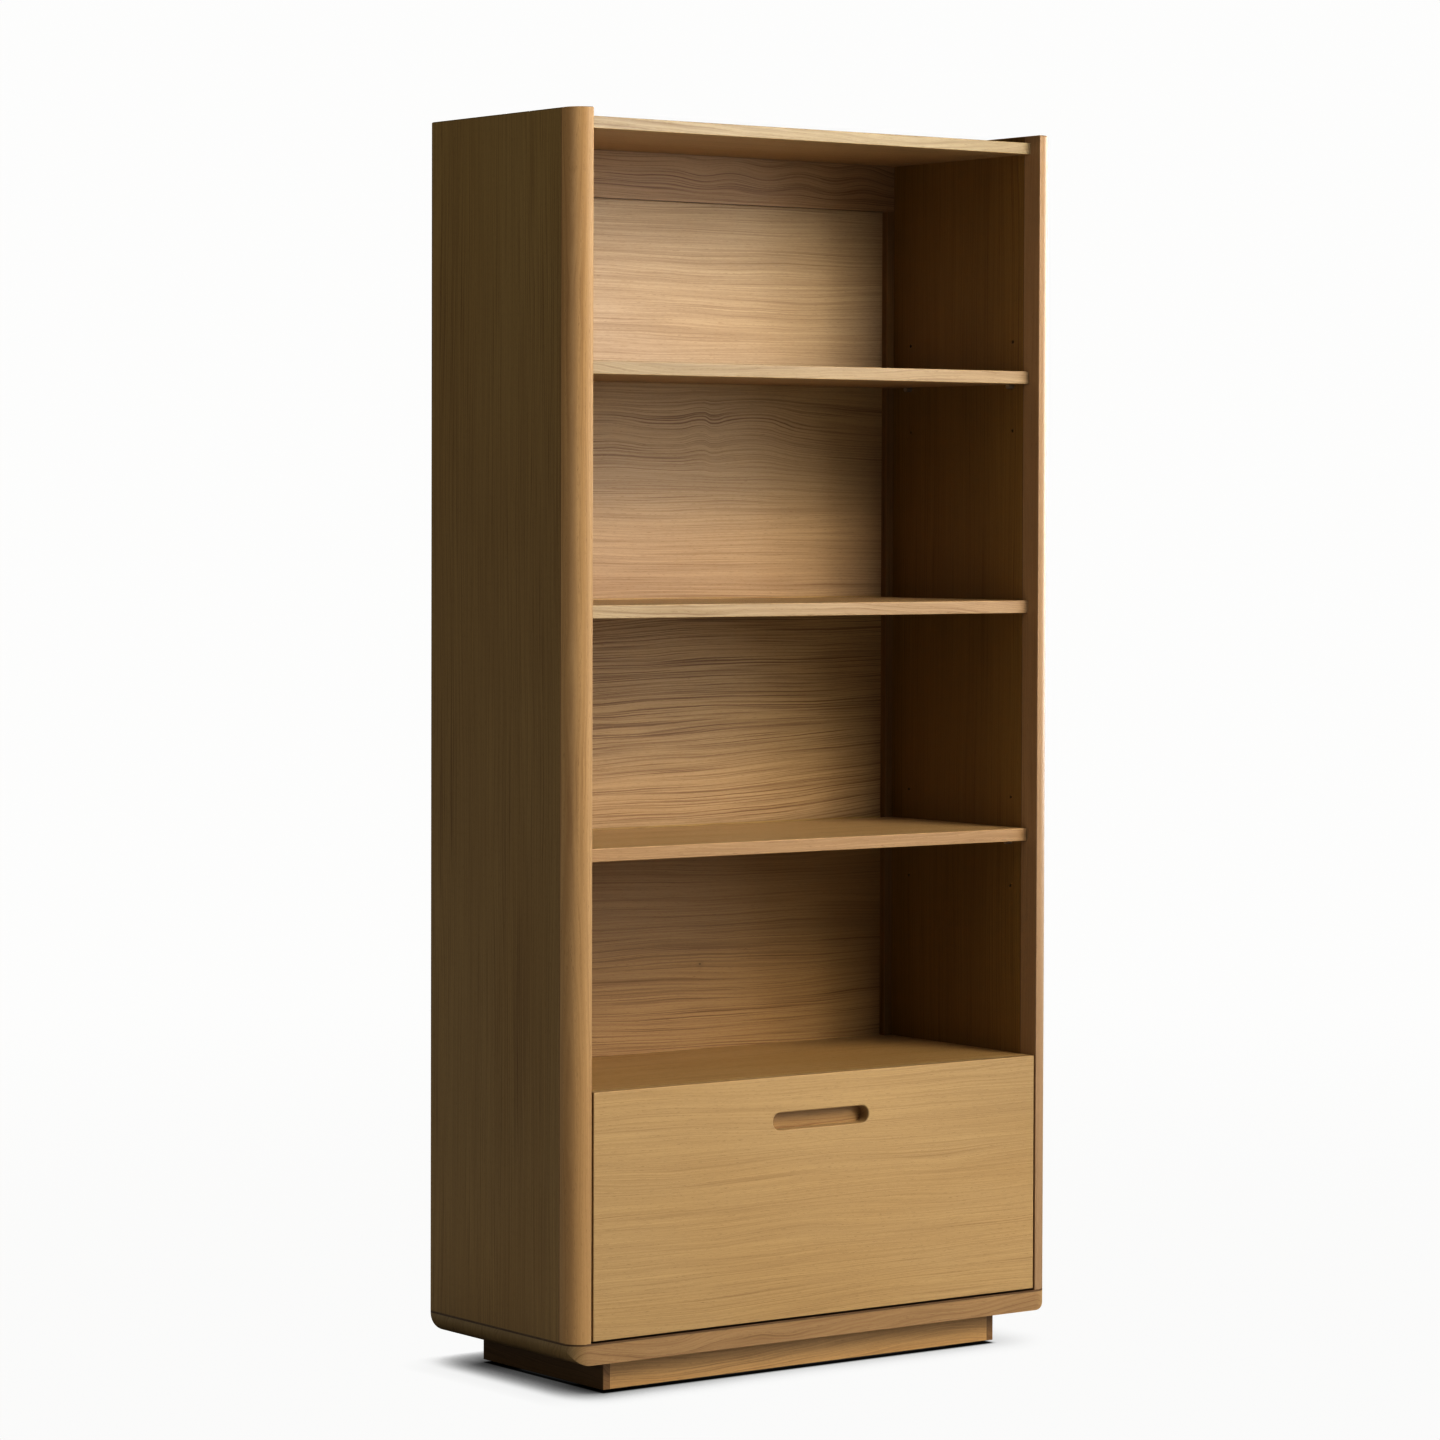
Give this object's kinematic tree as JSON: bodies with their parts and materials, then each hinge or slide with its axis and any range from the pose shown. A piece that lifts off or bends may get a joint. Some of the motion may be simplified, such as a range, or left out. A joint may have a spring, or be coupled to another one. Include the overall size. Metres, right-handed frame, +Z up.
{
  "type": "bookcase with a drawer",
  "caption": "Tall free-standing oak bookcase: open shelves between rounded stiles, a wide drawer with a finger slot at the bottom, and a recessed plinth.",
  "frame": {"origin": "on the floor, below the middle of the bounding box", "axes": "+Z up, the front faces -Y, +X to the right seen from the front"},
  "size_m": [0.914, 0.386, 1.9],
  "materials": {
    "oak_side": "satin lacquered oak veneer, vertical grain",
    "oak_solid": "satin lacquered solid oak",
    "oak_panel": "satin lacquered oak veneer, grain along the width",
    "oak_back": "satin lacquered oak plywood, grain along the width",
    "oak_plinth": "satin lacquered solid oak",
    "oak_front": "satin lacquered oak veneer, grain along the width",
    "drawer_wood": "clear lacquered wood",
    "softwood": "raw softwood",
    "dowel_wood": "raw beech",
    "zinc_steel": "zinc plated",
    "slide_steel": "bright zinc plated",
    "ball_steel": "polished",
    "glide_plastic": "matt",
    "bumper_rubber": "soft"
  },
  "bodies": {
    "carcass": {"side_panel_left": "oak_side", "side_panel_right": "oak_side", "side_nosing_left": "oak_solid", "side_nosing_right": "oak_solid", "base_board": "oak_solid", "top_panel": "oak_panel", "middle_shelf": "oak_panel", "deck_panel": "oak_panel", "panel_dowels": "dowel_wood", "cam_bolts": "zinc_steel", "cam_discs": "zinc_steel", "shelf_pins_upper": "zinc_steel", "shelf_pins_lower": "zinc_steel", "back_panel": "oak_back", "back_screws": "zinc_steel", "back_rail_top": "oak_back", "corner_batten_lower_left": "oak_solid", "corner_batten_lower_right": "oak_solid", "corner_batten_upper_left": "oak_solid", "corner_batten_upper_right": "oak_solid", "plinth_front": "oak_plinth", "plinth_back": "oak_plinth", "plinth_end_left": "oak_plinth", "plinth_end_right": "oak_plinth", "plinth_brace": "oak_plinth", "plinth_corner_blocks": "softwood", "plinth_screws": "zinc_steel", "glide_front_left": "glide_plastic", "glide_back_left": "glide_plastic", "glide_front_right": "glide_plastic", "glide_back_right": "glide_plastic", "slide_cabinet_member_left": "slide_steel", "slide_cabinet_member_right": "slide_steel", "slide_screws_cabinet": "zinc_steel"},
    "drawer": {"drawer_front": "oak_front", "drawer_box_side_left": "drawer_wood", "drawer_box_side_right": "drawer_wood", "drawer_box_front": "drawer_wood", "drawer_box_back": "drawer_wood", "drawer_bottom": "drawer_wood", "drawer_box_dowels": "dowel_wood", "drawer_front_screws": "zinc_steel", "drawer_bumpers": "bumper_rubber", "slide_drawer_member_left": "slide_steel", "slide_drawer_member_right": "slide_steel", "slide_screws_drawer": "zinc_steel"},
    "slide_middles": {"slide_middle_member_left": "slide_steel", "slide_middle_member_right": "slide_steel", "slide_balls_left": "ball_steel", "slide_balls_right": "ball_steel", "slide_ball_retainers_left": "slide_steel", "slide_ball_retainers_right": "slide_steel"},
    "shelf_up": {"shelf_upper": "oak_panel"},
    "shelf_low": {"shelf_lower": "oak_panel"}
  },
  "joints": [
    {"name": "drawer_slide", "type": "slide", "parent": "carcass", "child": "drawer", "axis": [0, -1, 0], "range_m": [0, 0.3]},
    {"name": "middle_slide", "type": "slide", "parent": "carcass", "child": "slide_middles", "axis": [0, -1, 0], "range_m": [0, 0.15]},
    {"name": "shelf_upper_lift", "type": "slide", "parent": "carcass", "child": "shelf_up", "axis": [0, 0, 1], "range_m": [0, 0.03]},
    {"name": "shelf_lower_lift", "type": "slide", "parent": "carcass", "child": "shelf_low", "axis": [0, 0, 1], "range_m": [0, 0.03]}
  ],
  "couplings": [
    {"joint": "middle_slide", "follows": "drawer_slide", "ratio": 0.5}
  ]
}
